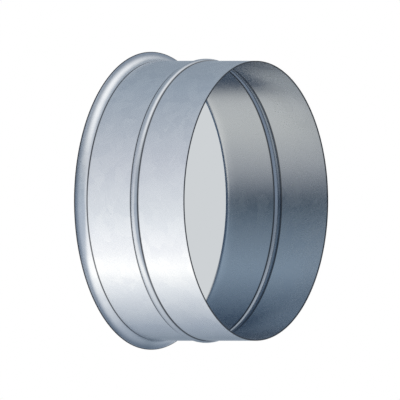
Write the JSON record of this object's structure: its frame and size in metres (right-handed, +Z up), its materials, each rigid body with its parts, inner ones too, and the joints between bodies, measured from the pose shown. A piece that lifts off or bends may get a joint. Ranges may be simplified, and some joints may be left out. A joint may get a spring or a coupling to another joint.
{
  "type": "wall sleeve",
  "caption": "Short round sheet-steel wall sleeve, open through, with an outward-rolled collar at the room end, a rolled stop bead around it and a plain spigot for a duct.",
  "frame": {"origin": "on the sleeve's axis, in the plane of the collar's room face", "axes": "+Y along the axis from the room side into the wall, towards the spigot; +Z up; the row is a body of revolution about Y"},
  "size_m": [0.2118, 0.0876, 0.2118],
  "materials": {
    "galvanised_steel": "zinc-coated sheet, blue-grey, smooth with a faint spangle and fine forming marks around it"
  },
  "bodies": {
    "root": {"wall_sleeve": "galvanised_steel"}
  },
  "joints": []
}
